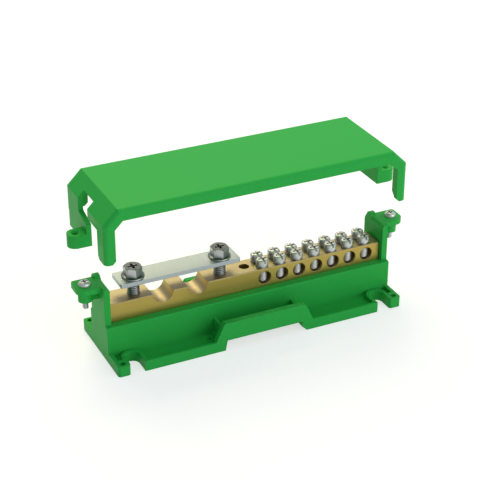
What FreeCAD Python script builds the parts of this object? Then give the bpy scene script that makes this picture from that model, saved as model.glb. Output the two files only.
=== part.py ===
import FreeCAD, Part
import math
import os
import Sketcher

# Earth terminal bar: a green moulded base with a brass bar in its trough, a lifted clamp strip, two
# rows of terminal screws and a green cover that is shown lifted off above the base.
#
# Frame: +X along the bar to the right, -Y towards the front, +Z up. The origin is the middle of the
# base's footprint, on the surface that it is mounted on. All sizes are in millimetres.

document = FreeCAD.newDocument("earth_terminal_bar")
sheet = document.addObject("Spreadsheet::Sheet", "Sizes")

# Driving dimensions: alias, value, what it is.
DIMENSIONS = [
    # Base, seen from above
    ("base_length", 150.0, "base over its two end faces"),
    ("base_width", 48.0, "base over its front and back lips"),
    ("flange_thickness", 3.2, "flat flange beside the trough"),
    ("rim_height", 5.4, "raised rims and feet"),
    ("end_rim", 1.9, "rim along each end"),
    ("lip_thickness", 1.5, "rim along front and back"),
    # Trough that holds the bar
    ("trough_wall", 4.5, "wall beside the bar"),
    ("seat_height", 16.5, "underside of the bar"),
    ("wall_above_seat", 2.5, "trough wall above the bar's underside"),
    ("ledge_round", 0.8, "round on the trough's outer top edges"),
    # End posts with the tabs that hold the cover
    ("post_thickness", 3.0, "end post along X"),
    ("post_front", 8.6, "post in front of the centre line"),
    ("post_back", 9.2, "post behind the centre line"),
    ("post_height", 38.3, "top of the post and of its screw tab"),
    ("post_round", 1.4, "round on the post's inner top edge"),
    ("nub_rise", 1.2, "stop nub above the post's back corner"),
    ("nub_length", 2.2, "stop nub along Y"),
    ("post_bevel_drop", 4.2, "bevel on the back corner, down from the nub"),
    ("post_bevel_reach", 2.6, "bevel on the back corner, along Y"),
    ("tab_thickness", 2.7, "screw tab plate"),
    ("tab_length", 11.0, "screw tab out from the end face"),
    ("tab_width", 11.6, "screw tab along Y"),
    ("tab_corner", 4.5, "round on the tab's front corner"),
    ("tab_back_corner", 1.5, "round on the tab's back corner"),
    ("boss_diameter", 6.6, "boss under the tab"),
    ("boss_drop", 5.4, "boss below the tab plate"),
    ("boss_web", 2.4, "web between boss and post"),
    ("screw_from_end", 6.1, "cover screw axis beyond the end face"),
    # Slotted feet
    ("slot_from_middle", 65.3, "slot centre line from the middle of the base"),
    ("slot_centre_depth", 16.6, "slot's round end from the bar's centre line"),
    ("slot_width", 7.0, "open slot for an M6 screw"),
    ("slot_rim", 1.8, "raised rim round the slot"),
    ("foot_block_width", 6.2, "solid block between slot and end face"),
    ("foot_block_depth", 6.0, "that block from the front edge"),
    ("foot_corner", 1.4, "round on the block's corners"),
    ("pip_diameter", 2.8, "blind hole in the foot block"),
    ("pip_depth", 3.6, "blind hole depth"),
    ("pip_inset_x", 2.9, "blind hole from the end face"),
    ("pip_inset_y", 2.7, "blind hole from the front edge"),
    # Bridges over the mounting rail, front and back
    ("bridge_half", 21.4, "half of the bridge's level top"),
    ("bridge_slope", 4.4, "run of each sloping shoulder"),
    ("bridge_top", 14.7, "top of the bridge"),
    ("bridge_thickness", 3.1, "bridge plate along Y"),
    ("bridge_round", 1.0, "round on the bridge's top corners"),
    ("bridge_floor", 7.3, "floor between bridge and trough"),
    ("rib_thickness", 1.6, "ribs between trough and bridge"),
    ("rib_top", 10.8, "top of those ribs"),
    ("step_width", 1.7, "low step outside each rib"),
    ("step_top", 4.6, "top of that step"),
    ("vent_diameter", 1.5, "small hole through the front flange"),
    ("vent_x", -25.4, "small hole from the middle, along X"),
    ("vent_y", -15.7, "small hole from the middle, along Y"),
    ("rib_offset", 20.5, "ribs from the middle of the base"),
    # Recess for a 35 mm mounting rail
    ("rail_width", 35.0, "mounting rail"),
    ("rail_edge_clearance", 2.4, "recess wall beside the rail"),
    ("rail_lip_thickness", 1.0, "rail's flange"),
    ("rail_lip_clearance", 0.3, "play of the flange over the catches"),
    ("recess_depth", 5.3, "recess above the mounting surface"),
    ("recess_lead", 2.6, "lead-in bevel on the right"),
    ("recess_lead_height", 2.4, "height of that bevel"),
    ("catch_reach", 1.1, "catch under the rail's flange"),
    ("catch_nose", 1.0, "upright nose of the catch"),
    ("catch_length", 14.0, "catch along Y"),
    # Coring of the underside
    ("core_wall", 1.8, "walls and ribs left by the coring"),
    ("core_roof", 2.0, "floor left under the bar"),
    ("core_cells", 3, "cells in each row beside the recess"),
    # Brass bar
    ("bar_width", 12.6, "bar along Y"),
    ("bar_height", 12.0, "bar along Z"),
    ("bar_side_clearance", 0.2, "gap between bar and trough wall"),
    ("bar_end_clearance", 0.6, "gap between bar and end post"),
    ("bar_edge", 0.35, "bevel on the bar's long top edges"),
    ("wire_hole_diameter", 6.8, "terminal hole"),
    ("wire_hole_below_top", 4.9, "terminal hole axis below the bar's top"),
    ("wire_hole_first", 8.2, "first terminal hole from the middle"),
    ("wire_hole_pitch", 9.35, "terminal hole spacing"),
    ("wire_hole_count", 7, "terminal holes"),
    ("spare_hole_diameter", 5.0, "empty hole, tapping size of M6"),
    ("groove_radius", 5.2, "half-round saddle for a cable"),
    ("groove_left", -44.8, "left saddle"),
    ("groove_right", -27.0, "right saddle"),
    # Clamp strip and its two screws
    ("clamp_screw_left_x", -57.3, "left clamp screw"),
    ("clamp_screw_right_x", -13.0, "right clamp screw"),
    ("strip_lift", 6.9, "strip above the bar"),
    ("strip_thickness", 2.1, "strip"),
    ("strip_width", 12.4, "strip along Y"),
    ("strip_overhang", 8.2, "strip beyond each screw"),
    ("strip_corner", 0.8, "round on the strip's corners"),
    ("strip_hole_clearance", 0.3, "strip hole round the screw, in radius"),
    ("clamp_thread", 6.0, "M6 clamp screw"),
    ("clamp_flange_diameter", 11.0, "flange of the clamp screw"),
    ("clamp_flange_height", 0.9, "flange of the clamp screw"),
    ("clamp_hex", 8.0, "clamp screw across flats"),
    ("clamp_hex_height", 4.2, "hexagon above the flange"),
    ("clamp_face_radius", 4.1, "round face left on the hexagon's top by its bevel"),
    ("clamp_bevel_reach", 5.2, "reach of that bevel's cut"),
    ("clamp_tip_gap", 2.0, "screw end above the trough floor"),
    ("clamp_tip_radius", 2.3, "flat end of the clamp screw"),
    ("clamp_tip_bevel", 0.7, "bevel above that end"),
    ("clamp_recess_length", 4.9, "cross recess in the hexagon"),
    ("clamp_recess_width", 1.2, "cross recess in the hexagon"),
    ("clamp_recess_depth", 1.9, "cross recess in the hexagon"),
    # Terminal screws, two over each terminal hole
    ("terminal_row_offset", 3.14, "each row from the bar's centre line"),
    ("terminal_thread", 5.0, "M5 terminal screw"),
    ("terminal_head_diameter", 6.1, "terminal screw head"),
    ("terminal_lift", 1.1, "underside of the head above the bar"),
    ("terminal_head_height", 2.9, "terminal screw head"),
    ("terminal_head_round", 0.9, "round on the head"),
    ("terminal_tip_gap", 0.7, "screw end above the hole's bottom"),
    ("terminal_tip_diameter", 3.2, "flat end of the screw"),
    ("terminal_taper", 1.35, "taper above that end"),
    ("terminal_slot_width", 1.1, "screwdriver slot"),
    ("terminal_slot_depth", 1.5, "screwdriver slot"),
    ("terminal_cross_length", 4.3, "short arm of the cross recess"),
    ("thread_clearance", 0.05, "tapped hole round its screw, in radius"),
    # Cover screws
    ("cover_thread", 2.8, "cover screw"),
    ("cover_screw_reach", 12.4, "cover screw below the tab's top"),
    ("cover_tip_radius", 1.1, "flat end of the cover screw"),
    ("cover_tip_bevel", 0.4, "bevel above that end"),
    ("cover_head_diameter", 5.8, "domed head"),
    ("cover_head_height", 2.0, "domed head"),
    ("cover_head_dome", 1.7, "round that makes the dome"),
    ("screw_clearance", 0.15, "plain hole round its screw, in radius"),
    ("cover_recess_length", 3.2, "cross recess in the dome"),
    ("cover_recess_width", 0.8, "cross recess in the dome"),
    ("cover_recess_depth", 1.1, "cross recess in the dome"),
    # Screws that hold the bar from below
    ("fixing_thread", 3.0, "M3 fixing screw"),
    ("fixing_pitches", 2.5, "fixing screw beyond the first terminal hole, in hole spacings"),
    ("fixing_depth", 3.4, "thread inside the bar"),
    ("fixing_floor", 4.0, "base floor under the bar at the screw"),
    ("fixing_head_diameter", 5.6, "pan head"),
    ("fixing_head_height", 2.0, "pan head"),
    ("fixing_counterbore", 6.4, "counterbore in the base"),
    ("fixing_boss", 10.4, "boss round the counterbore"),
    ("fixing_slot", 0.9, "slot in the pan head"),
    # Cover, lifted off
    ("cover_shift_back", 5.3, "lifted cover's middle behind the base's"),
    ("cover_top", 83.1, "lifted cover's top above the mounting surface"),
    ("cover_width", 49.2, "cover over its flanks"),
    ("cover_length", 154.6, "cover over its end walls"),
    ("cover_wall", 2.4, "cover wall"),
    ("cover_bevel", 7.2, "45 degree bevel at each end"),
    ("cover_round", 2.2, "round along both flanks' outer edges"),
    ("flank_depth", 5.7, "front and back flank below the top"),
    ("flank_knee", 4.0, "45 degree corner between flank and leg"),
    ("front_leg_width", 5.3, "front leg along X"),
    ("front_leg_depth", 8.9, "front leg along Y"),
    ("front_leg_drop", 26.6, "front leg below the top"),
    ("leg_bevel", 1.6, "bevel on the leg's lower corners"),
    ("back_leg_width", 9.5, "back leg along X"),
    ("back_leg_drop", 19.3, "back leg below the top"),
    ("end_wall_drop", 27.7, "end wall below the top"),
    ("end_wall_front", 1.5, "end wall's front edge, before the middle"),
    ("end_arch_drop", 12.2, "top of the opening between leg and end wall"),
    ("window_back", 8.4, "window's back side, behind the middle"),
    ("window_front", 4.0, "window's front side, before the middle"),
    ("window_top_drop", 4.1, "window's top below the cover's top"),
    ("window_sill_back_drop", 13.8, "sill at its back end"),
    ("window_sill_front_drop", 16.6, "sill at its front end"),
    ("lug_offset", 2.5, "lug axis behind the cover's middle"),
    ("lug_radius", 4.0, "round end of the lug"),
    ("lug_reach", 4.2, "lug axis beyond the end wall"),
    ("lug_height", 6.4, "lug"),
    ("lug_hole_diameter", 2.5, "pilot hole for the cover screw"),
    ("lug_hole_depth", 5.4, "pilot hole"),
    ("lug_mouth_diameter", 4.2, "countersunk mouth of the pilot hole"),
]

HEADINGS = ("alias", "value", "meaning")
for column, heading in zip("ABC", HEADINGS):
    sheet.set(f"{column}1", heading)
for row, (alias, value, meaning) in enumerate(DIMENSIONS, start=2):
    sheet.set(f"A{row}", alias)
    sheet.set(f"B{row}", str(value))
    sheet.setAlias(f"B{row}", alias)
    sheet.set(f"C{row}", meaning)
document.recompute()


# Sizes that follow from the driving dimensions, written as expressions of the sheet.

def size(text):
    """Turns plain names of the sheet into references to it."""
    words = []
    for word in text.replace("(", " ( ").replace(")", " ) ").split():
        words.append(f"Sizes.{word}" if word in ALIASES else word)
    joined = " ".join(words)
    for function in ("sin", "cos", "tan"):
        joined = joined.replace(f"{function} (", f"{function}(")
    return joined


ALIASES = {alias for alias, _, _ in DIMENSIONS}

HALF_LENGTH = "( base_length / 2 )"
HALF_WIDTH = "( base_width / 2 )"
POST_INNER = f"( {HALF_LENGTH} - post_thickness )"
TROUGH_HALF = "( bar_width / 2 + bar_side_clearance )"
BODY_HALF = f"( {TROUGH_HALF} + trough_wall )"
WALL_TOP = "( seat_height + wall_above_seat )"
TAB_UNDER = "( post_height - tab_thickness )"
SCREW_X = f"( {HALF_LENGTH} + screw_from_end )"
BOSS_UNDER = f"( {TAB_UNDER} - boss_drop )"
RECESS_HALF = "( rail_width / 2 + rail_edge_clearance )"
BAR_TOP = "( seat_height + bar_height )"
WIRE_Z = f"( {BAR_TOP} - wire_hole_below_top )"
BAR_HALF = f"( {POST_INNER} - bar_end_clearance )"
STRIP_UNDER = f"( {BAR_TOP} + strip_lift )"
STRIP_TOP = f"( {STRIP_UNDER} + strip_thickness )"
CORE_TOP = "( seat_height - core_roof )"
FIXING_X = "( wire_hole_first + fixing_pitches * wire_hole_pitch )"
FIXING_SEAT = "( seat_height - fixing_floor )"


def value_of(text):
    """Number that an expression of the sheet gives."""
    return float(sheet.evalExpression(size(text)))


# Small helpers, one for each kind of sketch and feature.

def new_body(name):
    body = document.addObject("PartDesign::Body", name)
    body.Label = name
    return body


def origin_plane(body, role):
    return next(item for item in body.Origin.OriginFeatures if item.Role == role)


def new_sketch(body, name, plane, offset):
    """Sketch on one of the body's own planes, moved along that plane's normal."""
    sketch = body.newObject("Sketcher::SketchObject", name)
    sketch.AttachmentSupport = [(origin_plane(body, plane), "")]
    sketch.MapMode = "FlatFace"
    sketch.setExpression("AttachmentOffset.Base.z", size(offset))
    return sketch


def pin_point(sketch, geometry, position, across, up):
    """Holds one point of the sketch at two expressions of the sheet."""
    for kind, text in (("DistanceX", across), ("DistanceY", up)):
        index = sketch.addConstraint(
            Sketcher.Constraint(kind, geometry, position, value_of(text)))
        sketch.setExpression(f"Constraints[{index}]", size(text))


def outline(body, name, plane, offset, corners):
    """Closed outline of straight sides through corners given as pairs of expressions."""
    sketch = new_sketch(body, name, plane, offset)
    points = [FreeCAD.Vector(value_of(across), value_of(up), 0) for across, up in corners]
    count = len(points)
    for index in range(count):
        sketch.addGeometry(Part.LineSegment(points[index], points[(index + 1) % count]), False)
    for index in range(count):
        sketch.addConstraint(
            Sketcher.Constraint("Coincident", index, 2, (index + 1) % count, 1))
    for index, (across, up) in enumerate(corners):
        pin_point(sketch, index, 1, across, up)
    return sketch


def rectangle(body, name, plane, offset, left, right, low, high):
    corners = [(left, low), (right, low), (right, high), (left, high)]
    return outline(body, name, plane, offset, corners)


def circles(body, name, plane, offset, diameter, centres):
    """One sketch with equal circles at the given centres."""
    sketch = new_sketch(body, name, plane, offset)
    for index, (across, up) in enumerate(centres):
        centre = FreeCAD.Vector(value_of(across), value_of(up), 0)
        circle = Part.Circle(centre, FreeCAD.Vector(0, 0, 1), value_of(diameter) / 2)
        sketch.addGeometry(circle, False)
        pin_point(sketch, index, 3, across, up)
        fixed = sketch.addConstraint(
            Sketcher.Constraint("Diameter", index, value_of(diameter)))
        sketch.setExpression(f"Constraints[{fixed}]", size(diameter))
    return sketch


# Coplanar faces are merged only by the features that ask for it, which keeps the build quick.

def pad(body, name, sketch, length, refine=False):
    feature = body.newObject("PartDesign::Pad", name)
    feature.Profile = sketch
    feature.Refine = refine
    feature.setExpression("Length", size(length))
    return feature


def pocket(body, name, sketch, length, refine=False):
    feature = body.newObject("PartDesign::Pocket", name)
    feature.Profile = sketch
    feature.Refine = refine
    feature.setExpression("Length", size(length))
    return feature


def revolve(body, name, corners, centre_x="0", centre_y="0"):
    """Solid of revolution about a vertical axis, from corners given as radius and height."""
    sketch = outline(body, f"{name}_profile", "XZ_Plane", "0", corners)
    feature = body.newObject("PartDesign::Revolution", name)
    feature.Profile = sketch
    feature.ReferenceAxis = (sketch, ["V_Axis"])
    feature.Angle = 360
    body.setExpression("Placement.Base.x", size(centre_x))
    body.setExpression("Placement.Base.y", size(centre_y))
    return feature


def chosen_edges(feature, test):
    """Names of the feature's edges whose two ends both pass the test."""
    names = []
    for index, edge in enumerate(feature.Shape.Edges, start=1):
        ends = [vertex.Point for vertex in edge.Vertexes]
        if len(ends) == 2 and test(*ends):
            names.append(f"Edge{index}")
    return names


def dress(body, kind, name, feature, edges, length):
    """Fillet or chamfer on the named edges of the body's last feature."""
    work = body.newObject(f"PartDesign::{kind}", name)
    work.Base = (feature, edges)
    work.setExpression("Radius" if kind == "Fillet" else "Size", size(length))
    return work


def near(value, target):
    return abs(value - target) < 1e-4


def is_upright(start, end):
    return near(start.x, end.x) and near(start.y, end.y)


def minus(text):
    return f"( 0 - {text} )"


LEFT_AND_RIGHT = (("left", -1), ("right", 1))
FRONT_AND_BACK = (("front", -1), ("back", 1))


def on_side(sign, near_text, far_text):
    """Lower and upper expression of a span that is mirrored when the sign is negative."""
    if sign > 0:
        return near_text, far_text
    return minus(far_text), minus(near_text)


# Base

def base_flange(body):
    plan = rectangle(body, "flange_plan", "XY_Plane", "0",
                     minus(HALF_LENGTH), HALF_LENGTH, minus(HALF_WIDTH), HALF_WIDTH)
    pad(body, "flange", plan, "flange_thickness")
    for side, sign in LEFT_AND_RIGHT:
        low, high = on_side(sign, f"( {HALF_LENGTH} - end_rim )", HALF_LENGTH)
        plan = rectangle(body, f"end_rim_plan_{side}", "XY_Plane", "0",
                         low, high, minus(HALF_WIDTH), HALF_WIDTH)
        pad(body, f"end_rim_{side}", plan, "rim_height")
    for side, sign in FRONT_AND_BACK:
        low, high = on_side(sign, f"( {HALF_WIDTH} - lip_thickness )", HALF_WIDTH)
        plan = rectangle(body, f"lip_plan_{side}", "XY_Plane", "0",
                         minus(HALF_LENGTH), HALF_LENGTH, low, high)
        pad(body, f"lip_{side}", plan, "rim_height")


def base_feet(body):
    """Raised rims and end blocks round the four open slots, before the slots are cut."""
    rim_radius = "( slot_width / 2 + slot_rim )"
    for side, sign in LEFT_AND_RIGHT:
        for end, turn in FRONT_AND_BACK:
            foot = f"{end}_{side}"
            centre_x = f"( {sign} * slot_from_middle )"
            centre_y = f"( {turn} * slot_centre_depth )"
            ring = circles(body, f"slot_ring_plan_{foot}", "XY_Plane", "0",
                           f"( 2 * {rim_radius} )", [(centre_x, centre_y)])
            pad(body, f"slot_ring_{foot}", ring, "rim_height")
            low, high = on_side(turn, "slot_centre_depth", HALF_WIDTH)
            legs = rectangle(body, f"slot_legs_plan_{foot}", "XY_Plane", "0",
                             f"( {centre_x} - {rim_radius} )", f"( {centre_x} + {rim_radius} )",
                             low, high)
            pad(body, f"slot_legs_{foot}", legs, "rim_height")
            left, right = on_side(sign, f"( {HALF_LENGTH} - foot_block_width )", HALF_LENGTH)
            low, high = on_side(turn, f"( {HALF_WIDTH} - foot_block_depth )", HALF_WIDTH)
            block = rectangle(body, f"foot_block_plan_{foot}", "XY_Plane", "0",
                              left, right, low, high)
            pad(body, f"foot_block_{foot}", block, "rim_height")


def base_bridges(body):
    """Bridge plates over the rail recess, with the floor and ribs behind them."""
    shoulder = "( bridge_half + bridge_slope )"
    corners = [(minus(shoulder), "0"), (minus(shoulder), "rim_height"),
               (minus("bridge_half"), "bridge_top"), ("bridge_half", "bridge_top"),
               (shoulder, "rim_height"), (shoulder, "0")]
    inner = f"( {HALF_WIDTH} - bridge_thickness )"
    rib_outer = "( rib_offset + rib_thickness / 2 )"
    step_half = f"( {rib_outer} + step_width )"
    for side, turn in FRONT_AND_BACK:
        plate = outline(body, f"bridge_outline_{side}", "XZ_Plane",
                        minus(HALF_WIDTH) if turn > 0 else inner, corners)
        pad(body, f"bridge_{side}", plate, "bridge_thickness")
        low, high = on_side(turn, BODY_HALF, inner)
        step = rectangle(body, f"step_plan_{side}", "XY_Plane", "0",
                         minus(step_half), step_half, low, high)
        pad(body, f"step_{side}", step, "step_top")
        floor = rectangle(body, f"bridge_floor_plan_{side}", "XY_Plane", "0",
                          minus(rib_outer), rib_outer, low, high)
        pad(body, f"bridge_floor_{side}", floor, "bridge_floor")
        for end, sign in LEFT_AND_RIGHT:
            left, right = on_side(sign, "( rib_offset - rib_thickness / 2 )", rib_outer)
            rib = rectangle(body, f"rib_plan_{side}_{end}", "XY_Plane", "0",
                            left, right, low, high)
            pad(body, f"rib_{side}_{end}", rib, "rib_top")


def base_trough(body):
    plan = rectangle(body, "trough_plan", "XY_Plane", "0",
                     minus(HALF_LENGTH), HALF_LENGTH, minus(BODY_HALF), BODY_HALF)
    block = pad(body, "trough_block", plan, WALL_TOP)
    document.recompute()
    half = value_of(BODY_HALF)
    top = value_of(WALL_TOP)

    def is_outer_top(start, end):
        return (near(start.z, top) and near(end.z, top)
                and near(abs(start.y), half) and near(start.y, end.y))

    dress(body, "Fillet", "ledge_fillet", block, chosen_edges(block, is_outer_top), "ledge_round")
    seat = rectangle(body, "seat_plan", "XY_Plane", WALL_TOP,
                     minus(POST_INNER), POST_INNER, minus(TROUGH_HALF), TROUGH_HALF)
    pocket(body, "seat", seat, "wall_above_seat")


def base_posts(body):
    """End posts: a profile with a stop nub and a bevelled back corner, then the screw tab."""
    nub_top = "( post_height + nub_rise )"
    nub_back = "( post_back - post_bevel_reach )"
    nub_front = f"( {nub_back} - nub_length )"
    corners = [(minus("post_front"), WALL_TOP), ("post_back", WALL_TOP),
               ("post_back", f"( {nub_top} - post_bevel_drop )"), (nub_back, nub_top),
               (nub_front, nub_top), (f"( {nub_front} - nub_rise )", "post_height"),
               (minus("post_front"), "post_height")]
    for side, sign in LEFT_AND_RIGHT:
        start, _ = on_side(sign, POST_INNER, HALF_LENGTH)
        profile = outline(body, f"post_profile_{side}", "YZ_Plane", start, corners)
        post = pad(body, f"post_{side}", profile, "post_thickness")
        document.recompute()
        inner = sign * value_of(POST_INNER)
        top = value_of("post_height")

        def is_inner_top(first, second):
            return (near(first.x, inner) and near(second.x, inner)
                    and near(first.z, top) and near(second.z, top))

        dress(body, "Fillet", f"post_fillet_{side}", post, chosen_edges(post, is_inner_top),
              "post_round")


def base_tabs(body):
    for side, sign in LEFT_AND_RIGHT:
        low, high = on_side(sign, HALF_LENGTH, f"( {HALF_LENGTH} + tab_length )")
        plan = rectangle(body, f"tab_plan_{side}", "XY_Plane", TAB_UNDER,
                         low, high, "( 0 - tab_width / 2 )", "( tab_width / 2 )")
        tab = pad(body, f"tab_{side}", plan, "tab_thickness")
        outer = sign * value_of(f"( {HALF_LENGTH} + tab_length )")
        for end, turn, radius in (("front", -1, "tab_corner"), ("back", 1, "tab_back_corner")):
            document.recompute()

            def is_outer_corner(first, second):
                return (is_upright(first, second) and near(first.x, outer)
                        and first.y * turn > 0)

            tab = dress(body, "Fillet", f"tab_fillet_{end}_{side}", tab,
                        chosen_edges(tab, is_outer_corner), radius)
        screw_x = f"( {sign} * {SCREW_X} )"
        boss = circles(body, f"boss_plan_{side}", "XY_Plane", BOSS_UNDER, "boss_diameter",
                       [(screw_x, "0")])
        pad(body, f"boss_{side}", boss, "boss_drop")
        low, high = on_side(sign, HALF_LENGTH, SCREW_X)
        web = rectangle(body, f"web_plan_{side}", "XY_Plane", BOSS_UNDER,
                        low, high, "( 0 - boss_web / 2 )", "( boss_web / 2 )")
        pad(body, f"web_{side}", web, "boss_drop")
        hole = circles(body, f"tab_hole_plan_{side}", "XY_Plane", "post_height",
                       "( cover_thread + 2 * screw_clearance )", [(screw_x, "0")])
        pocket(body, f"tab_hole_{side}", hole, "( tab_thickness + boss_drop )")


def base_slots(body):
    """Open slots in the feet, and the small blind hole beside each."""
    for side, sign in LEFT_AND_RIGHT:
        for end, turn in FRONT_AND_BACK:
            foot = f"{end}_{side}"
            centre_x = f"( {sign} * slot_from_middle )"
            centre_y = f"( {turn} * slot_centre_depth )"
            round_end = circles(body, f"slot_round_{foot}", "XY_Plane", "rim_height",
                                "slot_width", [(centre_x, centre_y)])
            pocket(body, f"slot_end_{foot}", round_end, "rim_height")
            low, high = on_side(turn, "slot_centre_depth", HALF_WIDTH)
            mouth = rectangle(body, f"slot_mouth_plan_{foot}", "XY_Plane", "rim_height",
                              f"( {centre_x} - slot_width / 2 )",
                              f"( {centre_x} + slot_width / 2 )", low, high)
            pocket(body, f"slot_mouth_{foot}", mouth, "rim_height")
    pips = [(f"( {sign} * ( {HALF_LENGTH} - pip_inset_x ) )",
             f"( {turn} * ( {HALF_WIDTH} - pip_inset_y ) )")
            for _, sign in LEFT_AND_RIGHT for _, turn in FRONT_AND_BACK]
    plan = circles(body, "pip_plan", "XY_Plane", "rim_height", "pip_diameter", pips)
    pocket(body, "pips", plan, "pip_depth")
    vent = circles(body, "vent_plan", "XY_Plane", "rim_height", "vent_diameter",
                   [("vent_x", "vent_y")])
    return pocket(body, "vent", vent, "rim_height", refine=True)


def base_rail_recess(body):
    """Recess across the underside for the rail, then the two catches inside it."""
    lead_top = "recess_lead_height"
    corners = [(minus(f"( {RECESS_HALF} + rail_lip_thickness )"), "0"),
               (minus(RECESS_HALF), "recess_depth"), (RECESS_HALF, "recess_depth"),
               (RECESS_HALF, lead_top), (f"( {RECESS_HALF} + recess_lead )", "0")]
    profile = outline(body, "recess_profile", "XZ_Plane", HALF_WIDTH, corners)
    pocket(body, "rail_recess", profile, "base_width")
    catch_top = "( recess_depth - rail_lip_thickness - rail_lip_clearance )"
    tip = "( rail_width / 2 - catch_reach )"
    for side, sign in LEFT_AND_RIGHT:
        root = f"( {sign} * ( {RECESS_HALF} + catch_nose ) )"
        nose = f"( {sign} * {tip} )"
        corners = [(root, catch_top), (nose, catch_top), (nose, f"( {catch_top} - catch_nose )"),
                   (root, "rail_lip_clearance")]
        profile = outline(body, f"catch_profile_{side}", "XZ_Plane", "( 0 - catch_length / 2 )",
                          corners)
        pad(body, f"catch_{side}", profile, "catch_length")


def core_row(body, name, first, last, count, bottom):
    """Cells cored from below between two places along X, with ribs between and beside them."""
    cell = f"( ( {last} - {first} - ( {count} - 1 ) * core_wall ) / {count} )"
    for index in range(int(value_of(count))):
        start = f"( {first} + {index} * ( {cell} + core_wall ) )"
        for end, turn in FRONT_AND_BACK:
            low, high = on_side(turn, "( core_wall / 2 )", f"( {BODY_HALF} - core_wall )")
            plan = rectangle(body, f"{name}_{end}_{index + 1}_plan", "XY_Plane", CORE_TOP,
                             start, f"( {start} + {cell} )", low, high)
            pocket(body, f"{name}_{end}_{index + 1}", plan, f"( {CORE_TOP} - {bottom} )")


def base_underside(body):
    """Cored cells under the trough, and the two counterbored bosses for the fixing screws."""
    inner = f"( {RECESS_HALF} + recess_lead + core_wall )"
    outer = f"( {HALF_LENGTH} - core_wall )"
    core_row(body, "core_right", inner, outer, "core_cells", "0")
    core_row(body, "core_left", minus(outer), minus(inner), "core_cells", "0")
    core_row(body, "core_middle", minus(f"( {RECESS_HALF} - core_wall )"),
             f"( {RECESS_HALF} - core_wall )", "core_cells", "recess_depth")
    places = [(f"( {sign} * {FIXING_X} )", "0") for _, sign in LEFT_AND_RIGHT]
    boss = circles(body, "fixing_boss_plan", "XY_Plane", "0", "fixing_boss", places)
    pad(body, "fixing_bosses", boss, CORE_TOP)
    wide = circles(body, "counterbore_plan", "XY_Plane", FIXING_SEAT, "fixing_counterbore", places)
    pocket(body, "counterbores", wide, FIXING_SEAT)
    narrow = circles(body, "fixing_hole_plan", "XY_Plane", "seat_height",
                     "( fixing_thread + 2 * screw_clearance )", places)
    pocket(body, "fixing_holes", narrow, "fixing_floor")


def base_corner_rounds(body, feature):
    """Rounds on the feet's corners and on the bridges' top corners."""
    document.recompute()
    half_width = value_of(HALF_WIDTH)
    half_length = value_of(HALF_LENGTH)
    block_inner = value_of("( slot_from_middle + slot_width / 2 )")

    def is_foot_corner(start, end):
        at_end = near(abs(start.x), half_length) or near(abs(start.x), block_inner)
        return is_upright(start, end) and at_end and near(abs(start.y), half_width)

    rounded = dress(body, "Fillet", "foot_fillet", feature,
                    chosen_edges(feature, is_foot_corner), "foot_corner")
    document.recompute()
    bridge_half = value_of("bridge_half")
    bridge_top = value_of("bridge_top")

    def is_bridge_corner(start, end):
        level = near(start.z, bridge_top) and near(end.z, bridge_top)
        return level and near(abs(start.x), bridge_half) and near(start.x, end.x)

    dress(body, "Fillet", "bridge_fillet", rounded, chosen_edges(rounded, is_bridge_corner),
          "bridge_round")


def make_base():
    body = new_body("base")
    base_flange(body)
    base_feet(body)
    base_bridges(body)
    base_trough(body)
    base_posts(body)
    base_tabs(body)
    base_rail_recess(body)
    base_underside(body)
    last = base_slots(body)
    base_corner_rounds(body, last)


# Brass bar

def make_earth_bar():
    body = new_body("earth_bar")
    plan = rectangle(body, "bar_plan", "XY_Plane", "seat_height",
                     minus(BAR_HALF), BAR_HALF, "( 0 - bar_width / 2 )", "( bar_width / 2 )")
    block = pad(body, "bar_block", plan, "bar_height")
    document.recompute()
    top = value_of(BAR_TOP)

    def is_long_top(start, end):
        return near(start.z, top) and near(end.z, top) and near(start.y, end.y)

    dress(body, "Chamfer", "bar_bevel", block, chosen_edges(block, is_long_top), "bar_edge")
    hole = circles(body, "wire_hole_outline", "XZ_Plane", "( bar_width / 2 )",
                   "wire_hole_diameter", [("wire_hole_first", WIRE_Z)])
    first_hole = pocket(body, "wire_hole", hole, "bar_width")
    row_ends = [("wire_hole_first", f"( {turn} * terminal_row_offset )")
                for _, turn in FRONT_AND_BACK]
    tapped = circles(body, "terminal_hole_plan", "XY_Plane", BAR_TOP,
                     "( terminal_thread + 2 * thread_clearance )", row_ends)
    first_pair = pocket(body, "terminal_holes", tapped, "wire_hole_below_top")
    document.recompute()
    row = body.newObject("PartDesign::LinearPattern", "hole_row")
    row.Originals = [first_hole, first_pair]
    row.Direction = (tapped, ["H_Axis"])
    row.setExpression("Length", size("wire_hole_pitch * ( wire_hole_count - 1 )"))
    row.setExpression("Occurrences", size("wire_hole_count"))
    body.Tip = row
    document.recompute()
    clamp = circles(body, "clamp_hole_plan", "XY_Plane", BAR_TOP,
                    "( clamp_thread + 2 * thread_clearance )",
                    [("clamp_screw_left_x", "0"), ("clamp_screw_right_x", "0")])
    pocket(body, "clamp_holes", clamp, "bar_height")
    spare = circles(body, "spare_hole_plan", "XY_Plane", BAR_TOP, "spare_hole_diameter",
                    [("0", "0")])
    pocket(body, "spare_hole", spare, "bar_height")
    saddle = circles(body, "groove_outline", "XZ_Plane", "( bar_width / 2 )",
                     "( 2 * groove_radius )", [("groove_left", BAR_TOP), ("groove_right", BAR_TOP)])
    pocket(body, "grooves", saddle, "bar_width")
    places = [(f"( {sign} * {FIXING_X} )", "0") for _, sign in LEFT_AND_RIGHT]
    fixing = circles(body, "fixing_thread_plan", "XY_Plane", "( seat_height + fixing_depth )",
                     "( fixing_thread + 2 * thread_clearance )", places)
    pocket(body, "fixing_threads", fixing, "fixing_depth")


# Clamp strip and its screws

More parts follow.
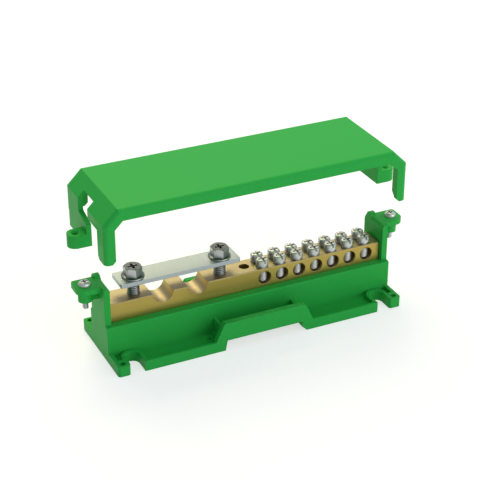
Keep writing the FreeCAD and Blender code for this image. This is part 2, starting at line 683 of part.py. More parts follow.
def make_clamp_plate():
    body = new_body("clamp_plate")
    plan = rectangle(body, "strip_plan", "XY_Plane", STRIP_UNDER,
                     "( clamp_screw_left_x - strip_overhang )",
                     "( clamp_screw_right_x + strip_overhang )",
                     "( 0 - strip_width / 2 )", "( strip_width / 2 )")
    strip = pad(body, "strip", plan, "strip_thickness")
    document.recompute()
    dress(body, "Fillet", "strip_fillet", strip, chosen_edges(strip, is_upright), "strip_corner")
    holes = circles(body, "strip_hole_plan", "XY_Plane", STRIP_TOP,
                    "( clamp_thread + 2 * strip_hole_clearance )",
                    [("clamp_screw_left_x", "0"), ("clamp_screw_right_x", "0")])
    pocket(body, "strip_holes", holes, "strip_thickness")


def cross_recess(body, name, top, long_arm, short_arm, width, depth):
    """Two crossed slots: the long arm lies along Y and the short one along X."""
    arms = (("along_y", width, long_arm), ("along_x", short_arm, width))
    for label, across, deep in arms:
        plan = rectangle(body, f"{name}_{label}_plan", "XY_Plane", top,
                         f"( 0 - {across} / 2 )", f"( {across} / 2 )",
                         f"( 0 - {deep} / 2 )", f"( {deep} / 2 )")
        pocket(body, f"{name}_{label}", plan, depth, refine=True)


def make_clamp_screw(side, centre_x):
    body = new_body(f"clamp_screw_{side}")
    flange_top = f"( {STRIP_TOP} + clamp_flange_height )"
    head_top = f"( {flange_top} + clamp_hex_height )"
    end = "( seat_height + clamp_tip_gap )"
    revolve(body, f"clamp_turned_{side}",
            [("0", end), ("clamp_tip_radius", end),
             ("( clamp_thread / 2 )", f"( {end} + clamp_tip_bevel )"),
             ("( clamp_thread / 2 )", STRIP_TOP), ("( clamp_flange_diameter / 2 )", STRIP_TOP),
             ("( clamp_flange_diameter / 2 )", f"( {STRIP_TOP} + clamp_flange_height / 2 )"),
             ("( clamp_hex / 2 )", flange_top), ("0", flange_top)],
            centre_x)
    corner_radius = "( clamp_hex / 2 / cos ( 30 ) )"
    corners = [(f"( {corner_radius} * cos ( {angle} ) )", f"( {corner_radius} * sin ( {angle} ) )")
               for angle in range(30, 390, 60)]
    overlap = "( clamp_flange_height / 4 )"
    hexagon = outline(body, f"hexagon_{side}", "XY_Plane", f"( {flange_top} - {overlap} )", corners)
    pad(body, f"hex_head_{side}", hexagon, f"( clamp_hex_height + {overlap} )")
    fall = "( ( clamp_bevel_reach - clamp_face_radius ) * tan ( 30 ) )"
    ring = outline(body, f"hex_bevel_profile_{side}", "XZ_Plane", "0",
                   [("clamp_face_radius", head_top), ("clamp_bevel_reach", head_top),
                    ("clamp_bevel_reach", f"( {head_top} - {fall} )")])
    bevel = body.newObject("PartDesign::Groove", f"hex_bevel_{side}")
    bevel.Profile = ring
    bevel.ReferenceAxis = (ring, ["V_Axis"])
    bevel.Angle = 360
    cross_recess(body, f"clamp_recess_{side}", head_top, "clamp_recess_length",
                 "clamp_recess_length", "clamp_recess_width", "clamp_recess_depth")


# Terminal screws

def make_terminal_screw(row, sign, number):
    name = f"terminal_screw_{row}_{number}"
    body = new_body(name)
    tip = f"( {WIRE_Z} - wire_hole_diameter / 2 + terminal_tip_gap )"
    taper_top = f"( {tip} + terminal_taper )"
    head_under = f"( {BAR_TOP} + terminal_lift )"
    head_top = f"( {head_under} + terminal_head_height )"
    turned = revolve(body, f"{name}_turned",
                     [("0", tip), ("( terminal_tip_diameter / 2 )", tip),
                      ("( terminal_thread / 2 )", taper_top),
                      ("( terminal_thread / 2 )", head_under),
                      ("( terminal_head_diameter / 2 )", head_under),
                      ("( terminal_head_diameter / 2 )", head_top), ("0", head_top)],
                     f"( wire_hole_first + {number - 1} * wire_hole_pitch )",
                     f"( {sign} * terminal_row_offset )")
    document.recompute()
    round_head(body, f"{name}_round", turned, head_top, "terminal_head_round")
    cross_recess(body, f"{name}_slot", head_top, "terminal_head_diameter", "terminal_cross_length",
                 "terminal_slot_width", "terminal_slot_depth")


def round_head(body, name, turned, head_top, radius):
    """Rounds the circular top edge of a turned head."""
    top = value_of(head_top)
    edges = [f"Edge{index}" for index, edge in enumerate(turned.Shape.Edges, start=1)
             if edge.Curve.TypeId == "Part::GeomCircle" and near(edge.CenterOfMass.z, top)]
    dress(body, "Fillet", name, turned, edges, radius)


# Cover screws and the screws that hold the bar

def make_cover_screw(side, sign):
    body = new_body(f"cover_screw_{side}")
    end = "( post_height - cover_screw_reach )"
    head_top = "( post_height + cover_head_height )"
    turned = revolve(body, f"cover_screw_turned_{side}",
                     [("0", end), ("cover_tip_radius", end),
                      ("( cover_thread / 2 )", f"( {end} + cover_tip_bevel )"),
                      ("( cover_thread / 2 )", "post_height"),
                      ("( cover_head_diameter / 2 )", "post_height"),
                      ("( cover_head_diameter / 2 )", head_top), ("0", head_top)],
                     f"( {sign} * {SCREW_X} )")
    document.recompute()
    round_head(body, f"cover_screw_dome_{side}", turned, head_top, "cover_head_dome")
    cross_recess(body, f"cover_recess_{side}", head_top, "cover_recess_length",
                 "cover_recess_length", "cover_recess_width", "cover_recess_depth")


def make_fixing_screw(side, sign):
    body = new_body(f"bar_fixing_screw_{side}")
    head_under = f"( {FIXING_SEAT} - fixing_head_height )"
    top = "( seat_height + fixing_depth )"
    revolve(body, f"fixing_turned_{side}",
            [("0", head_under), ("( fixing_head_diameter / 2 )", head_under),
             ("( fixing_head_diameter / 2 )", FIXING_SEAT), ("( fixing_thread / 2 )", FIXING_SEAT),
             ("( fixing_thread / 2 )", top), ("0", top)],
            f"( {sign} * {FIXING_X} )")
    slot = rectangle(body, f"fixing_slot_plan_{side}", "XY_Plane",
                     f"( {head_under} + fixing_head_height / 2 )",
                     "( 0 - fixing_slot / 2 )", "( fixing_slot / 2 )",
                     "( 0 - fixing_head_diameter / 2 )", "( fixing_head_diameter / 2 )")
    pocket(body, f"fixing_slot_{side}", slot, "( fixing_head_height / 2 )")


# Cover. Its sketches are drawn about its own middle, with heights below its top, and the body is
# then placed where it is lifted to.

def shell_outline(body, name, offset, inset):
    """Long section of the cover: level top, a bevel at each end and an open underside."""
    half = f"( cover_length / 2 - {inset} )"
    shoulder = f"( cover_length / 2 - cover_bevel - {inset} * tan ( 22.5 ) )"
    top = f"( 0 - {inset} )"
    knee = f"( {top} - ( {half} - {shoulder} ) )"
    low = "( 0 - end_wall_drop )"
    corners = [(minus(half), low), (minus(half), knee), (minus(shoulder), top), (shoulder, top),
               (half, knee), (half, low)]
    return outline(body, name, "XZ_Plane", offset, corners)


def cover_shell(body):
    outer = shell_outline(body, "shell_outer", "( 0 - cover_width / 2 )", "0")
    block = pad(body, "shell_block", outer, "cover_width")
    document.recompute()

    half_width = value_of("( cover_width / 2 )")
    lowest = value_of("( 0 - end_wall_drop )")

    def is_flank_edge(start, end):
        on_flank = near(abs(start.y), half_width) and near(start.y, end.y)
        return on_flank and max(start.z, end.z) > lowest + 1

    dress(body, "Fillet", "shell_fillet", block, chosen_edges(block, is_flank_edge), "cover_round")
    inner = shell_outline(body, "shell_inner", "( cover_width / 2 - cover_wall )", "cover_wall")
    pocket(body, "shell_hollow", inner, "( cover_width - 2 * cover_wall )")


def cover_flank(body, side, turn, leg_width, leg_drop):
    """Cuts one flank to its short skirt, leaving a leg at each end."""
    leg_inner = f"( cover_length / 2 - {leg_width} )"
    knee_x = f"( {leg_inner} - flank_knee )"
    skirt = "( 0 - flank_depth )"
    low = "( 0 - end_wall_drop )"
    foot_inner = f"( {leg_inner} + leg_bevel )"
    foot = f"( 0 - {leg_drop} )"
    bevel_top = f"( {foot} + leg_bevel )"
    knee = f"( {skirt} - flank_knee )"
    corners = [(minus(foot_inner), low), (minus(foot_inner), foot), (minus(leg_inner), bevel_top),
               (minus(leg_inner), knee), (minus(knee_x), skirt), (knee_x, skirt),
               (leg_inner, knee), (leg_inner, bevel_top), (foot_inner, foot), (foot_inner, low)]
    offset = "( cover_width / 2 )" if turn < 0 else "( 0 - cover_width / 2 + 2 * cover_wall )"
    cut = outline(body, f"skirt_outline_{side}", "XZ_Plane", offset, corners)
    pocket(body, f"skirt_{side}", cut, "( 2 * cover_wall )")
    reach = "( cover_length / 2 )"
    for end, sign in LEFT_AND_RIGHT:
        left, right = on_side(sign, leg_inner, reach)
        low_y, high_y = on_side(turn, "( cover_width / 2 - cover_wall )", "( cover_width / 2 )")
        plan = rectangle(body, f"leg_foot_plan_{side}_{end}", "XY_Plane", foot,
                         left, right, low_y, high_y)
        pocket(body, f"leg_foot_{side}_{end}", plan, f"( end_wall_drop - {leg_drop} )")


def cover_end_openings(body):
    """One cut through both end walls: the opening beside the front leg and the tab's window."""
    leg_back = "( 0 - cover_width / 2 + front_leg_depth )"
    low = "( 0 - end_wall_drop )"
    arch = "( 0 - end_arch_drop )"
    wall_front = minus("end_wall_front")
    corners = [(leg_back, low), (leg_back, arch), (minus("window_front"), arch),
               (minus("window_front"), "( 0 - window_top_drop )"),
               ("window_back", "( 0 - window_top_drop )"),
               ("window_back", "( 0 - window_sill_back_drop )"),
               (wall_front, "( 0 - window_sill_front_drop )"), (wall_front, low)]
    cut = outline(body, "end_opening", "YZ_Plane", "( cover_length / 2 )", corners)
    pocket(body, "end_openings", cut, "cover_length")
    foot_z = "( 0 - front_leg_drop )"
    corners = [("( 0 - cover_width / 2 )", low), (leg_back, low),
               (leg_back, f"( {foot_z} + leg_bevel )"), (f"( {leg_back} - leg_bevel )", foot_z),
               ("( 0 - cover_width / 2 )", foot_z)]
    foot = outline(body, "front_foot_outline", "YZ_Plane", "( cover_length / 2 )", corners)
    pocket(body, "front_feet", foot, "cover_length")


def cover_lugs(body):
    lug_top = "( lug_height - end_wall_drop )"
    low = "( 0 - end_wall_drop )"
    for side, sign in LEFT_AND_RIGHT:
        axis_x = f"( {sign} * ( cover_length / 2 + lug_reach ) )"
        left, right = on_side(sign, "( cover_length / 2 - cover_wall )",
                              "( cover_length / 2 + lug_reach )")
        block = rectangle(body, f"lug_block_plan_{side}", "XY_Plane", low, left, right,
                          "( lug_offset - lug_radius )", "( lug_offset + lug_radius )")
        pad(body, f"lug_block_{side}", block, "lug_height")
        tip = circles(body, f"lug_tip_plan_{side}", "XY_Plane", low, "( 2 * lug_radius )",
                      [(axis_x, "lug_offset")])
        pad(body, f"lug_tip_{side}", tip, "lug_height", refine=True)
        hole = circles(body, f"lug_hole_plan_{side}", "XY_Plane", lug_top, "lug_hole_diameter",
                       [(axis_x, "lug_offset")])
        last = pocket(body, f"lug_hole_{side}", hole, "lug_hole_depth")
        document.recompute()
        axis_value = value_of(axis_x)
        top_value = value_of(lug_top)
        mouth = [f"Edge{index}" for index, edge in enumerate(last.Shape.Edges, start=1)
                 if edge.Curve.TypeId == "Part::GeomCircle" and edge.isClosed()
                 and near(edge.CenterOfMass.z, top_value)
                 and near(edge.CenterOfMass.x, axis_value)]
        dress(body, "Chamfer", f"lug_mouth_{side}", last, mouth,
              "( ( lug_mouth_diameter - lug_hole_diameter ) / 2 )")


def make_cover():
    body = new_body("cover")
    cover_shell(body)
    cover_flank(body, "front", -1, "front_leg_width", "front_leg_drop")
    cover_flank(body, "back", 1, "back_leg_width", "back_leg_drop")
    cover_end_openings(body)
    cover_lugs(body)
    body.setExpression("Placement.Base.y", size("cover_shift_back"))
    body.setExpression("Placement.Base.z", size("cover_top"))


# Build

make_base()
make_earth_bar()
make_clamp_plate()
make_clamp_screw("left", "clamp_screw_left_x")
make_clamp_screw("right", "clamp_screw_right_x")
terminal_count = int(value_of("wire_hole_count"))
for row_name, row_sign in FRONT_AND_BACK:
    for place in range(1, terminal_count + 1):
        make_terminal_screw(row_name, row_sign, place)
for side_name, side_sign in LEFT_AND_RIGHT:
    make_cover_screw(side_name, side_sign)
    make_fixing_screw(side_name, side_sign)
make_cover()
document.recompute()

# Check and export

for item in document.Objects:
    if {"Invalid", "Error"} & set(item.State):
        raise RuntimeError(f"{item.Name} failed: {item.State}")

os.makedirs("parts", exist_ok=True)
for item in document.Objects:
    if item.TypeId != "PartDesign::Body":
        continue
    shape = item.Shape
    if shape.isNull() or not shape.isValid() or len(shape.Solids) != 1:
        raise RuntimeError(f"{item.Label} is not one valid solid")
    shape.exportStep(os.path.join("parts", f"{item.Label}.step"))
    print(item.Label, round(shape.Volume, 1), [round(v, 2) for v in (
        shape.BoundBox.XMin, shape.BoundBox.XMax, shape.BoundBox.YMin, shape.BoundBox.YMax,
        shape.BoundBox.ZMin, shape.BoundBox.ZMax)])
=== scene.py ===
"""Looks of the earth terminal bar: finishes, screw threads, studio and camera.

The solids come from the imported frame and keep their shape. This script gives them their finishes,
shows the screws with real threads, and sets the studio as in the photograph.
"""

import logging
import math
from dataclasses import dataclass
from enum import Enum

import bmesh
import bpy
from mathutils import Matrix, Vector

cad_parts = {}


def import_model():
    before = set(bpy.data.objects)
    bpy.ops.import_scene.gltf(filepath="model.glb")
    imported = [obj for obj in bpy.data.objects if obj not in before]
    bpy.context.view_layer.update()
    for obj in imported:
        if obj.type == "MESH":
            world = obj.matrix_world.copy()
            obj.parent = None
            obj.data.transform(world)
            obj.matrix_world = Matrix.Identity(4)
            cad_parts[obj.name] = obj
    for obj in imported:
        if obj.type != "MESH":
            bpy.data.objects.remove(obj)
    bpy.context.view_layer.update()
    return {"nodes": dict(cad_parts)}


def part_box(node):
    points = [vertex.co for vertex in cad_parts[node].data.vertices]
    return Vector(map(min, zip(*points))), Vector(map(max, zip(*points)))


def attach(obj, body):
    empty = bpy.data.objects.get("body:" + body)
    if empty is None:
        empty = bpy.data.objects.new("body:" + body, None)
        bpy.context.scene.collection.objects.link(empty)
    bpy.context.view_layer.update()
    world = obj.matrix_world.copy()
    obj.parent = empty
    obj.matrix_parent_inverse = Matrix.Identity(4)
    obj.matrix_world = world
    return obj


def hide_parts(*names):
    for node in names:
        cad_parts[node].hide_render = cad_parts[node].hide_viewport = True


LOG = logging.getLogger("earth_terminal_bar")
MM = 0.001
BODY = "root"
LEFT_RIGHT = ("left", "right")
ROWS = ("front", "back")
TERMINALS_PER_ROW = 7
WHITE = (1.0, 1.0, 1.0, 1.0)
# Sockets of a colour Mix node, which share their names with those for other kinds of value.
MIX_FACTOR, MIX_FIRST, MIX_SECOND = 0, 6, 7
MIX_RESULT = 2


def to_linear(code: str) -> tuple[float, float, float, float]:
    """Turns an sRGB hex colour into linear RGBA.

    Args:
        code: colour such as "#33A047".

    Returns:
        Linear red, green, blue and an alpha of 1.
    """
    channels = (int(code[i:i + 2], 16) / 255 for i in (1, 3, 5))
    linear = (c / 12.92 if c <= 0.04045 else ((c + 0.055) / 1.055) ** 2.4 for c in channels)
    return (*linear, 1.0)


@dataclass(frozen=True)
class Finish:
    """One surface finish.

    Attributes:
        name: material name.
        color: main colour, sRGB hex.
        shade: second colour of the mottling, sRGB hex.
        metallic: 0 for plastic, 1 for metal.
        roughness: middle roughness.
        roughness_spread: how far the roughness varies either way.
        grain: noise cells per metre along X, Y and Z, so 1000 gives grains of about 1 mm.
        bump: height of the grain in metres.
        edge: radius in metres over which sharp edges look rounded.
        specular: level of the mirror reflection of a non-metal, 0.5 for common plastic.
        upper: colour of the faces that look up, sRGB hex, painted light and shade that makes the
            top lighter or darker than the rest to stand in for how the light falls.
    """

    name: str
    color: str
    shade: str
    metallic: float
    roughness: float
    roughness_spread: float
    grain: tuple[float, float, float]
    bump: float
    edge: float
    specular: float = 0.5
    upper: str | None = None


class Finishes(Enum):
    """The finishes that the object has."""

    # Moulded ABS: an even satin green, with a faint grain and edges that are slightly rounded.
    GREEN = Finish("green_plastic", color="#32B44D", shade="#2DAE49", metallic=0.0,
                   roughness=0.42, roughness_spread=0.05, grain=(900.0, 900.0, 900.0),
                   bump=0.006 * MM, edge=0.3 * MM, specular=0.09)
    # Drawn brass: dull and golden, with lines along the bar, 0.7 mm apart to show in the picture.
    # Its top faces are painted paler, a painted highlight that stands in for whiter light from
    # above.
    BRASS = Finish("brass", color="#C0AA5E", shade="#AC984E", metallic=1.0,
                   roughness=0.44, roughness_spread=0.08, grain=(60.0, 1400.0, 1400.0),
                   bump=0.006 * MM, edge=0.15 * MM, upper="#AE9F7E")
    # Zinc-plated strip: pale, with soft lines across it, 0.7 mm apart to show in the picture.
    PLATE = Finish("zinc_plate", color="#AEB7B9", shade="#A2ABAE", metallic=1.0,
                   roughness=0.34, roughness_spread=0.07, grain=(1500.0, 90.0, 600.0),
                   bump=0.004 * MM, edge=0.15 * MM)
    # Zinc-plated steel: light and satin, with a faint cloudiness of about 1.4 mm.
    SCREW = Finish("zinc_screw", color="#D1D4D4", shade="#C2C5C5", metallic=1.0,
                   roughness=0.42, roughness_spread=0.08, grain=(700.0, 700.0, 700.0),
                   bump=0.003 * MM, edge=0.06 * MM)
    # Cold-headed zinc-plated steel: greyer and glossier, with its top faces painted dark, a painted
    # shade.
    HEXAGON = Finish("grey_zinc_screw", color="#BABEBC", shade="#ABAFAD", metallic=1.0,
                     roughness=0.3, roughness_spread=0.07, grain=(700.0, 700.0, 700.0),
                     bump=0.003 * MM, edge=0.12 * MM, upper="#6C7071")


def add_node(tree: bpy.types.NodeTree, kind: str, values: dict | None = None,
             links: dict | None = None, **settings: object) -> bpy.types.Node:
    """Adds one node to a tree.

    Args:
        tree: the tree.
        kind: node class name.
        values: input name or index to value.
        links: input name or index to the output socket that feeds it.
        settings: attributes of the node.

    Returns:
        The node.
    """
    node = tree.nodes.new(kind)
    for key, value in settings.items():
        setattr(node, key, value)
    for key, value in (values or {}).items():
        node.inputs[key].default_value = value
    for key, socket in (links or {}).items():
        tree.links.new(socket, node.inputs[key])
    return node


def make_material(finish: Finish) -> bpy.types.Material:
    """Builds the procedural material of one finish.

    Args:
        finish: the finish.

    Returns:
        The material.
    """
    material = bpy.data.materials.new(finish.name)
    material.use_nodes = True
    tree = material.node_tree
    tree.nodes.clear()
    place = add_node(tree, "ShaderNodeTexCoord")
    spread = add_node(tree, "ShaderNodeMapping", {"Scale": finish.grain},
                      {"Vector": place.outputs["Object"]})
    noise = add_node(tree, "ShaderNodeTexNoise", {"Scale": 1.0, "Detail": 4.0, "Roughness": 0.6},
                     {"Vector": spread.outputs["Vector"]})
    color = add_node(tree, "ShaderNodeMix",
                     {MIX_FIRST: to_linear(finish.shade), MIX_SECOND: to_linear(finish.color)},
                     {MIX_FACTOR: noise.outputs["Fac"]}, data_type="RGBA")
    if finish.upper:
        color = add_painted_top_shading(tree, place, color, to_linear(finish.upper))
    rough = add_node(tree, "ShaderNodeMapRange",
                     {"To Min": finish.roughness - finish.roughness_spread,
                      "To Max": finish.roughness + finish.roughness_spread},
                     {"Value": noise.outputs["Fac"]})
    bevel = add_node(tree, "ShaderNodeBevel", {"Radius": finish.edge}, samples=6)
    bump = add_node(tree, "ShaderNodeBump", {"Strength": 1.0, "Distance": finish.bump},
                    {"Height": noise.outputs["Fac"], "Normal": bevel.outputs["Normal"]})
    shader = add_node(tree, "ShaderNodeBsdfPrincipled",
                      {"Metallic": finish.metallic, "Specular IOR Level": finish.specular},
                      {"Base Color": color.outputs[MIX_RESULT],
                       "Roughness": rough.outputs["Result"],
                       "Normal": bump.outputs["Normal"]})
    add_node(tree, "ShaderNodeOutputMaterial", links={"Surface": shader.outputs["BSDF"]})
    return material


def add_painted_top_shading(tree: bpy.types.NodeTree, place: bpy.types.Node, color: bpy.types.Node,
              upper: tuple[float, float, float, float]) -> bpy.types.Node:
    """Adds nodes that paint light and shade on the faces that look up, by giving them a colour of
    their own.

    Args:
        tree: the tree.
        place: texture coordinates.
        color: the mix that gives the colour of the other faces.
        upper: linear colour of the painted light and shade on the faces that look up.

    Returns:
        The mix that gives the whole colour.
    """
    # The upward part of the normal at which the painted top shading starts and is full.
    steepest, most_level = 0.2, 0.9
    normal = add_node(tree, "ShaderNodeSeparateXYZ", links={0: place.outputs["Normal"]})
    share = add_node(tree, "ShaderNodeMapRange", {"From Min": steepest, "From Max": most_level},
                     {"Value": normal.outputs["Z"]})
    return add_node(tree, "ShaderNodeMix", {MIX_SECOND: upper},
                    {MIX_FACTOR: share.outputs["Result"], MIX_FIRST: color.outputs[MIX_RESULT]},
                    data_type="RGBA")


@dataclass(frozen=True)
class ThreadSize:
    """Size of a screw thread.

    Attributes:
        radius: crest radius in metres.
        pitch: rise of one turn in metres.
        lead_in: height over which the thread grows at the tip, in metres.
    """

    radius: float
    pitch: float
    lead_in: float


class ThreadSizes(Enum):
    """The threads that the screws have."""

    M5 = ThreadSize(radius=2.5 * MM, pitch=0.8 * MM, lead_in=1.2 * MM)
    M6 = ThreadSize(radius=3.0 * MM, pitch=1.0 * MM, lead_in=1.5 * MM)
    COVER = ThreadSize(radius=1.4 * MM, pitch=0.7 * MM, lead_in=0.4 * MM)


@dataclass(frozen=True)
class Thread:
    """A threaded vertical shank.

    Attributes:
        size: size of the thread.
        bottom: lowest height in metres.
        top: highest height in metres.
    """

    size: ThreadSize
    bottom: float
    top: float

    SEGMENTS = 32
    ROWS_PER_TURN = 8
    DEPTH_PER_PITCH = 0.54
    CREST_AND_ROOT_FLAT = 0.25
    TIP_SHARE_OF_CORE = 0.9

    @property
    def core(self) -> float:
        """Root radius of the thread."""
        return self.size.radius - self.DEPTH_PER_PITCH * self.size.pitch

    def radius_at(self, height: float, turn: float) -> float:
        """Surface radius.

        Args:
            height: height above the thread's bottom, in metres.
            turn: angle round the axis as a share of one turn.

        Returns:
            The radius in metres.
        """
        phase = (height / self.size.pitch - turn) % 1.0
        wave = 1.0 - abs(2.0 * phase - 1.0)
        flat = self.CREST_AND_ROOT_FLAT
        crest = min(1.0, max(0.0, wave * (1.0 + 2.0 * flat) - flat))
        growth = min(1.0, height / self.size.lead_in)
        core = self.core * (self.TIP_SHARE_OF_CORE + (1.0 - self.TIP_SHARE_OF_CORE) * growth)
        return core + (self.size.radius - self.core) * crest * growth

    def build(self, centre: Vector) -> tuple[list[tuple[float, float, float]],
                                             list[tuple[int, ...]]]:
        """Vertices and faces of the closed threaded shank.

        Args:
            centre: the axis's place in X and Y.

        Returns:
            Vertex positions and faces.
        """
        turns = (self.top - self.bottom) / self.size.pitch
        rows = round(turns * self.ROWS_PER_TURN) + 1
        vertices, faces = [], []
        for row in range(rows):
            height = (self.top - self.bottom) * row / (rows - 1)
            for step in range(self.SEGMENTS):
                turn = step / self.SEGMENTS
                reach = self.radius_at(height, turn)
                angle = 2.0 * math.pi * turn
                vertices.append((centre.x + reach * math.cos(angle),
                                 centre.y + reach * math.sin(angle), self.bottom + height))
        for row in range(rows - 1):
            for step in range(self.SEGMENTS):
                next_step = (step + 1) % self.SEGMENTS
                low, high = row * self.SEGMENTS, (row + 1) * self.SEGMENTS
                faces.append((low + step, low + next_step, high + next_step, high + step))
        faces.append(tuple(reversed(range(self.SEGMENTS))))
        faces.append(tuple(range((rows - 1) * self.SEGMENTS, rows * self.SEGMENTS)))
        return vertices, faces


def merge_corners(mesh: bpy.types.Mesh) -> None:
    """Joins the loose triangles of a copied solid where their corners meet.

    Args:
        mesh: the copy.
    """
    # Far below the smallest edge, so that only equal corners meet.
    reach = 0.0005 * MM
    merged = bmesh.new()
    merged.from_mesh(mesh)
    bmesh.ops.remove_doubles(merged, verts=merged.verts, dist=reach)
    merged.to_mesh(mesh)
    merged.free()


@dataclass(frozen=True)
class DressedScrew:
    """A screw that is shown with a real thread in place of its plain shank.

    Attributes:
        node: name of the CAD node.
        size: size of its thread.
    """

    node: str
    size: ThreadSize

    RADIUS_TOLERANCE = 0.02 * MM
    HEIGHT_TOLERANCE = 0.01 * MM
    # The plain shank is drawn in to this share of the thread's core, where the thread hides it.
    HIDDEN_SHARE_OF_CORE = 0.85

    def build(self, nodes: dict[str, bpy.types.Object], material: bpy.types.Material) -> None:
        """Makes the threaded screw and puts it in the node's place.

        Args:
            nodes: CAD nodes by name.
            material: finish of the screw.
        """
        low, high = (Vector(corner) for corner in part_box(self.node))
        centre = (low + high) / 2
        head_mesh = nodes[self.node].data.copy()
        head_mesh.name = f"{self.node}_threaded"
        merge_corners(head_mesh)
        shank_radius = self.size.radius + self.RADIUS_TOLERANCE
        head_bottom = min(vertex.co.z for vertex in head_mesh.vertices
                          if math.hypot(vertex.co.x - centre.x, vertex.co.y - centre.y)
                          > shank_radius)
        thread = Thread(self.size, low.z, head_bottom)
        hidden_radius = thread.core * self.HIDDEN_SHARE_OF_CORE
        for vertex in head_mesh.vertices:
            away = Vector((vertex.co.x - centre.x, vertex.co.y - centre.y))
            below_head = vertex.co.z < head_bottom + self.HEIGHT_TOLERANCE
            if below_head and hidden_radius < away.length < shank_radius:
                away *= hidden_radius / away.length
                vertex.co.x = centre.x + away.x
                vertex.co.y = centre.y + away.y
        vertices, faces = thread.build(centre)
        shank_mesh = bpy.data.meshes.new(f"{self.node}_shank")
        shank_mesh.from_pydata(vertices, [], faces)
        shank_mesh.polygons.foreach_set("use_smooth", [True] * len(shank_mesh.polygons))
        head = self.add_piece(head_mesh, material)
        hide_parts(self.node)
        self.add_piece(shank_mesh, material)
        LOG.info("%s: thread of %.1f mm", self.node, 2.0 * self.size.radius / MM)

    @staticmethod
    def add_piece(mesh: bpy.types.Mesh, material: bpy.types.Material) -> bpy.types.Object:
        """Adds one mesh of the screw to the scene.

        Args:
            mesh: the mesh, in place.
            material: its finish.

        Returns:
            The new object.
        """
        piece = bpy.data.objects.new(mesh.name, mesh)
        bpy.context.scene.collection.objects.link(piece)
        mesh.materials.clear()
        mesh.materials.append(material)
        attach(piece, BODY)
        return piece


@dataclass(frozen=True)
class Lamp:
    """A square soft lamp that points at the object.

    Attributes:
        name: its name.
        place: its position in metres.
        size: its side in metres.
        power: its power in watts.
        color: its colour, linear.
    """

    name: str
    place: tuple[float, float, float]
    size: float
    power: float
    color: tuple[float, float, float]

    # A point just above the middle of the earth bar.
    AIM = (0.0, 0.0, 0.03)

    def build(self) -> None:
        """Adds the lamp to the scene."""
        data = bpy.data.lights.new(self.name, "AREA")
        data.size = self.size
        data.energy = self.power
        data.color = self.color
        lamp = bpy.data.objects.new(self.name, data)
        lamp.location = self.place
        aim = Vector(self.AIM) - Vector(self.place)
        lamp.rotation_euler = aim.to_track_quat("-Z", "Y").to_euler()
        bpy.context.scene.collection.objects.link(lamp)


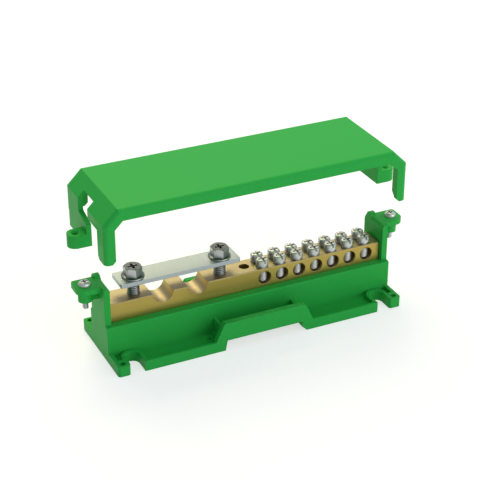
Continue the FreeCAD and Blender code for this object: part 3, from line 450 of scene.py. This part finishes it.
@dataclass(frozen=True)
class Studio:
    """Floor, lamps, white surroundings and camera.

    Attributes:
        azimuth: camera's direction round the object, degrees from the front.
        elevation: how steeply the camera looks down, degrees.
        position: camera position in metres.
        lens: focal length in mm on a 36 mm sensor.
        ambient: light of the surroundings on the object.
        mirrored: brightness of the surroundings in reflections.
        left_share: how bright the surroundings are at the far left, as a share of the rest.
    """

    azimuth: float = -25.45
    elevation: float = 28.19
    position: tuple[float, float, float] = (-0.25960, -0.54105, 0.36462)
    lens: float = 106.8
    ambient: float = 0.5
    mirrored: float = 0.75
    left_share: float = 0.3

    SENSOR_WIDTH = 36.0
    NEAREST, FARTHEST = 0.01, 20.0
    SHADE_TINT = (0.9, 1.0, 1.12, 1.0)
    # Direction's X at which the surroundings are darkest and from which they are full.
    DARKEST_X, FULL_X = -1.0, -0.1
    FLOOR_COLOR = "#FBFBFB"
    FLOOR_HALF = 3.0
    FLOOR_TOP = -0.05 * MM
    # The floor looks part lit, which keeps the shadow, and part white by itself.
    FLOOR_WHITE_SHARE = 0.5
    FLOOR_WHITE_STRENGTH = 1.3
    LAMPS = (Lamp("top", place=(0.1, 0.7, 1.1), size=0.8, power=10.3, color=(1.0, 0.9, 0.5)),
             Lamp("front", place=(0.7, -1.2, 0.5), size=1.2, power=5.7, color=(1.0, 1.0, 1.0)))

    def build(self) -> None:
        """Builds the whole studio."""
        self.add_camera()
        self.add_surroundings()
        self.add_floor()
        for lamp in self.LAMPS:
            lamp.build()

    def add_camera(self) -> None:
        """Adds the camera as in the photograph."""
        data = bpy.data.cameras.new("camera")
        data.sensor_width = self.SENSOR_WIDTH
        data.lens = self.lens
        data.clip_start = self.NEAREST
        data.clip_end = self.FARTHEST
        camera = bpy.data.objects.new("camera", data)
        turn, tilt = math.radians(self.azimuth), math.radians(self.elevation)
        look = Vector((-math.sin(turn) * math.cos(tilt), math.cos(turn) * math.cos(tilt),
                       -math.sin(tilt)))
        camera.location = self.position
        camera.rotation_euler = look.to_track_quat("-Z", "Y").to_euler()
        bpy.context.scene.collection.objects.link(camera)
        bpy.context.scene.camera = camera

    def add_surroundings(self) -> None:
        """Makes the world white to look at, milder as a light and darker at the left."""
        world = bpy.data.worlds.new("surroundings")
        bpy.context.scene.world = world
        world.use_nodes = True
        tree = world.node_tree
        tree.nodes.clear()
        seen = add_seen(tree)
        path = add_node(tree, "ShaderNodeLightPath")
        lit = add_node(tree, "ShaderNodeMapRange",
                       {"To Min": self.ambient, "To Max": self.mirrored},
                       {"Value": seen.outputs["Value"]})
        place = add_node(tree, "ShaderNodeTexCoord")
        direction = add_node(tree, "ShaderNodeSeparateXYZ", links={0: place.outputs["Generated"]})
        side = add_node(tree, "ShaderNodeMapRange",
                        {"From Min": self.DARKEST_X, "From Max": self.FULL_X,
                         "To Min": self.left_share},
                        {"Value": direction.outputs["X"]})
        dimmed = add_node(tree, "ShaderNodeMath", operation="MULTIPLY",
                          links={0: lit.outputs["Result"], 1: side.outputs["Result"]})
        strength = add_node(tree, "ShaderNodeMapRange", {"To Max": 1.0},
                            {"Value": path.outputs["Is Camera Ray"],
                             "To Min": dimmed.outputs["Value"]})
        tint = add_node(tree, "ShaderNodeMix", {MIX_FIRST: self.SHADE_TINT, MIX_SECOND: WHITE},
                        {MIX_FACTOR: seen.outputs["Value"]}, data_type="RGBA")
        background = add_node(tree, "ShaderNodeBackground",
                              links={"Color": tint.outputs[MIX_RESULT],
                                     "Strength": strength.outputs["Result"]})
        add_node(tree, "ShaderNodeOutputWorld", links={"Surface": background.outputs["Background"]})

    def add_floor(self) -> None:
        """Adds the floor, which looks white but keeps the object's shadow."""
        half, top = self.FLOOR_HALF, self.FLOOR_TOP
        mesh = bpy.data.meshes.new("floor")
        corners = [(-half, -half, top), (half, -half, top), (half, half, top), (-half, half, top)]
        mesh.from_pydata(corners, [], [(0, 1, 2, 3)])
        material = bpy.data.materials.new("studio_floor")
        material.use_nodes = True
        tree = material.node_tree
        tree.nodes.clear()
        seen = add_seen(tree)
        share = add_node(tree, "ShaderNodeMath", {1: self.FLOOR_WHITE_SHARE},
                         {0: seen.outputs["Value"]}, operation="MULTIPLY")
        matt = add_node(tree, "ShaderNodeBsdfDiffuse", {"Color": to_linear(self.FLOOR_COLOR)})
        white = add_node(tree, "ShaderNodeEmission",
                         {"Color": WHITE, "Strength": self.FLOOR_WHITE_STRENGTH})
        mixed = add_node(tree, "ShaderNodeMixShader",
                         links={0: share.outputs["Value"], 1: matt.outputs["BSDF"],
                                2: white.outputs["Emission"]})
        add_node(tree, "ShaderNodeOutputMaterial", links={"Surface": mixed.outputs["Shader"]})
        mesh.materials.append(material)
        floor = bpy.data.objects.new("floor", mesh)
        bpy.context.scene.collection.objects.link(floor)


def add_seen(tree: bpy.types.NodeTree) -> bpy.types.Node:
    """Adds nodes that give 1 for rays that see the surroundings, directly or by reflection.

    Args:
        tree: the tree.

    Returns:
        The node whose Value output is 1 for such rays.
    """
    path = add_node(tree, "ShaderNodeLightPath")
    mirrored = add_node(tree, "ShaderNodeMath", operation="MAXIMUM",
                        links={0: path.outputs["Is Glossy Ray"],
                               1: path.outputs["Is Transmission Ray"]})
    return add_node(tree, "ShaderNodeMath", operation="MAXIMUM",
                    links={0: path.outputs["Is Camera Ray"], 1: mirrored.outputs["Value"]})


NODE_FINISH = {"base": Finishes.GREEN, "cover": Finishes.GREEN, "earth_bar": Finishes.BRASS,
               "clamp_plate": Finishes.PLATE, "clamp_screw_left": Finishes.HEXAGON,
               "clamp_screw_right": Finishes.HEXAGON}


def list_screws() -> list[DressedScrew]:
    """Lists the screws that get a thread.

    Returns:
        The screws in the order of building.
    """
    screws = [DressedScrew(f"terminal_screw_{row}_{number}", ThreadSizes.M5.value)
              for row in ROWS for number in range(1, TERMINALS_PER_ROW + 1)]
    for side in LEFT_RIGHT:
        screws.append(DressedScrew(f"clamp_screw_{side}", ThreadSizes.M6.value))
        screws.append(DressedScrew(f"cover_screw_{side}", ThreadSizes.COVER.value))
    return screws


def main() -> None:
    """Dresses the solids, adds the threads and builds the studio."""
    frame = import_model()
    nodes = frame["nodes"]
    materials = {finish: make_material(finish.value) for finish in Finishes}
    for name, node in nodes.items():
        finish = NODE_FINISH.get(name, Finishes.SCREW)
        node.data.materials.clear()
        node.data.materials.append(materials[finish])
        LOG.info("%s: %s", name, finish.value.name)
    for screw in list_screws():
        screw.build(nodes, materials[NODE_FINISH.get(screw.node, Finishes.SCREW)])
    Studio().build()
    bpy.context.scene.view_settings.view_transform = "Standard"


if __name__ == "__main__":
    logging.basicConfig(level=logging.INFO)
    main()
